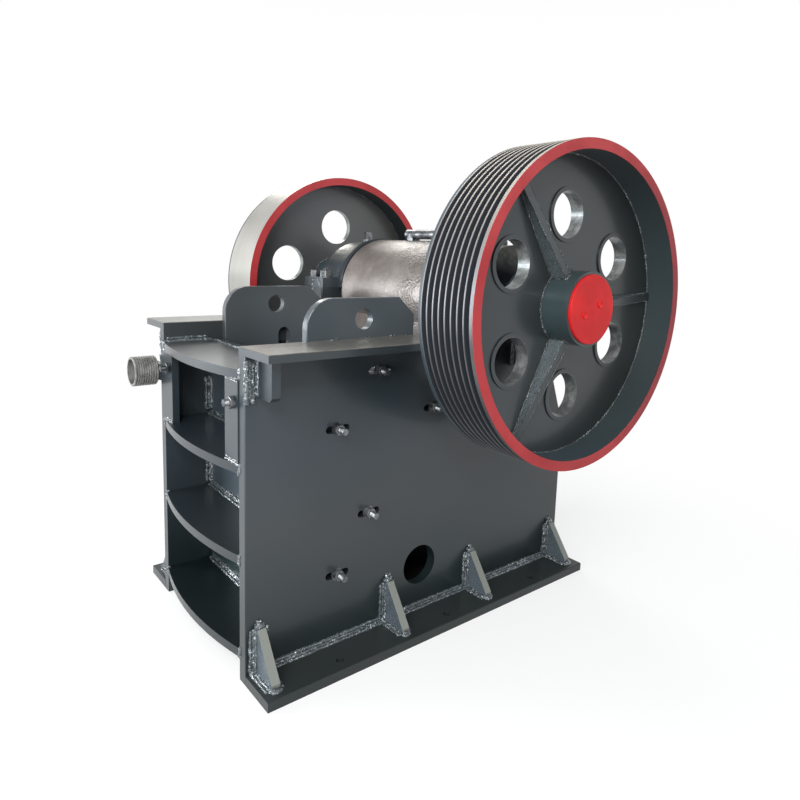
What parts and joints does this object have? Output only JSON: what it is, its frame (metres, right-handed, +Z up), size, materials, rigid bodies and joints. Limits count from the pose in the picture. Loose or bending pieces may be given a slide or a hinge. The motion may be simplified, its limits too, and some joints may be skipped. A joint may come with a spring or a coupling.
{
  "type": "jaw crusher",
  "caption": "Single-toggle jaw crusher: welded ribbed frame, eccentric shaft with grooved drive sheave and flywheel, swing jaw hung on the shaft, toothed jaw liners, bolt-down feet.",
  "frame": {"origin": "centre of the foot bolt holes, on the floor plane", "axes": "+X along the eccentric shaft towards the grooved drive sheave, +Y from the ribbed front wall to the rear, +Z up"},
  "size_m": [1.726, 1.634, 1.753],
  "materials": {
    "frame_enamel": "gloss enamel",
    "red_enamel": "gloss enamel",
    "wheel_rim": "machined",
    "cast_steel": "as cast, oiled",
    "bright_steel": "machined",
    "liner_steel": "as cast",
    "fastener_steel": "oiled",
    "sleeve_paint": "satin"
  },
  "bodies": {
    "frame": {"side_plate_right": "frame_enamel", "side_plate_left": "frame_enamel", "foot_plates": "frame_enamel", "foot_gussets": "frame_enamel", "top_flanges": "frame_enamel", "flange_stiffeners": "frame_enamel", "front_wall": "frame_enamel", "front_ribs": "frame_enamel", "stud_pads": "frame_enamel", "clamp_studs": "fastener_steel", "ribbed_sleeve": "sleeve_paint", "sleeve_bracket": "frame_enamel", "cheek_plates": "frame_enamel", "lower_cheek_plates": "liner_steel", "fixed_jaw_plate": "liner_steel", "liner_ledge": "cast_steel", "rear_wall": "frame_enamel", "rear_ribs": "frame_enamel", "toggle_block": "cast_steel", "toggle_plate": "cast_steel", "tension_rod": "bright_steel", "spring_seats": "fastener_steel", "tension_spring": "bright_steel", "housing_bases": "frame_enamel", "housing_caps": "frame_enamel", "housing_bolts": "fastener_steel", "grease_caps": "fastener_steel", "seal_rings": "frame_enamel"},
    "rotor": {"eccentric_shaft": "bright_steel", "sheave_rim": "frame_enamel", "sheave_web": "frame_enamel", "sheave_gussets": "frame_enamel", "sheave_hub": "frame_enamel", "flywheel_rim": "wheel_rim", "flywheel_web": "frame_enamel", "flywheel_gussets": "frame_enamel", "flywheel_hub": "frame_enamel", "hub_caps": "red_enamel"},
    "swing_jaw": {"swing_jaw": "cast_steel", "swing_jaw_plate": "liner_steel", "jaw_lifting_bar": "bright_steel"}
  },
  "joints": [
    {"name": "rotor_spin", "type": "hinge", "parent": "frame", "child": "rotor", "pos_m": [0, 0.237, 1.208], "axis": [1, 0, 0], "continuous": true},
    {"name": "jaw_swing", "type": "hinge", "parent": "rotor", "child": "swing_jaw", "pos_m": [0, 0.237, 1.196], "axis": [1, 0, 0], "continuous": true}
  ],
  "couplings": [
    {"joint": "jaw_swing", "follows": "rotor_spin", "ratio": -1}
  ]
}
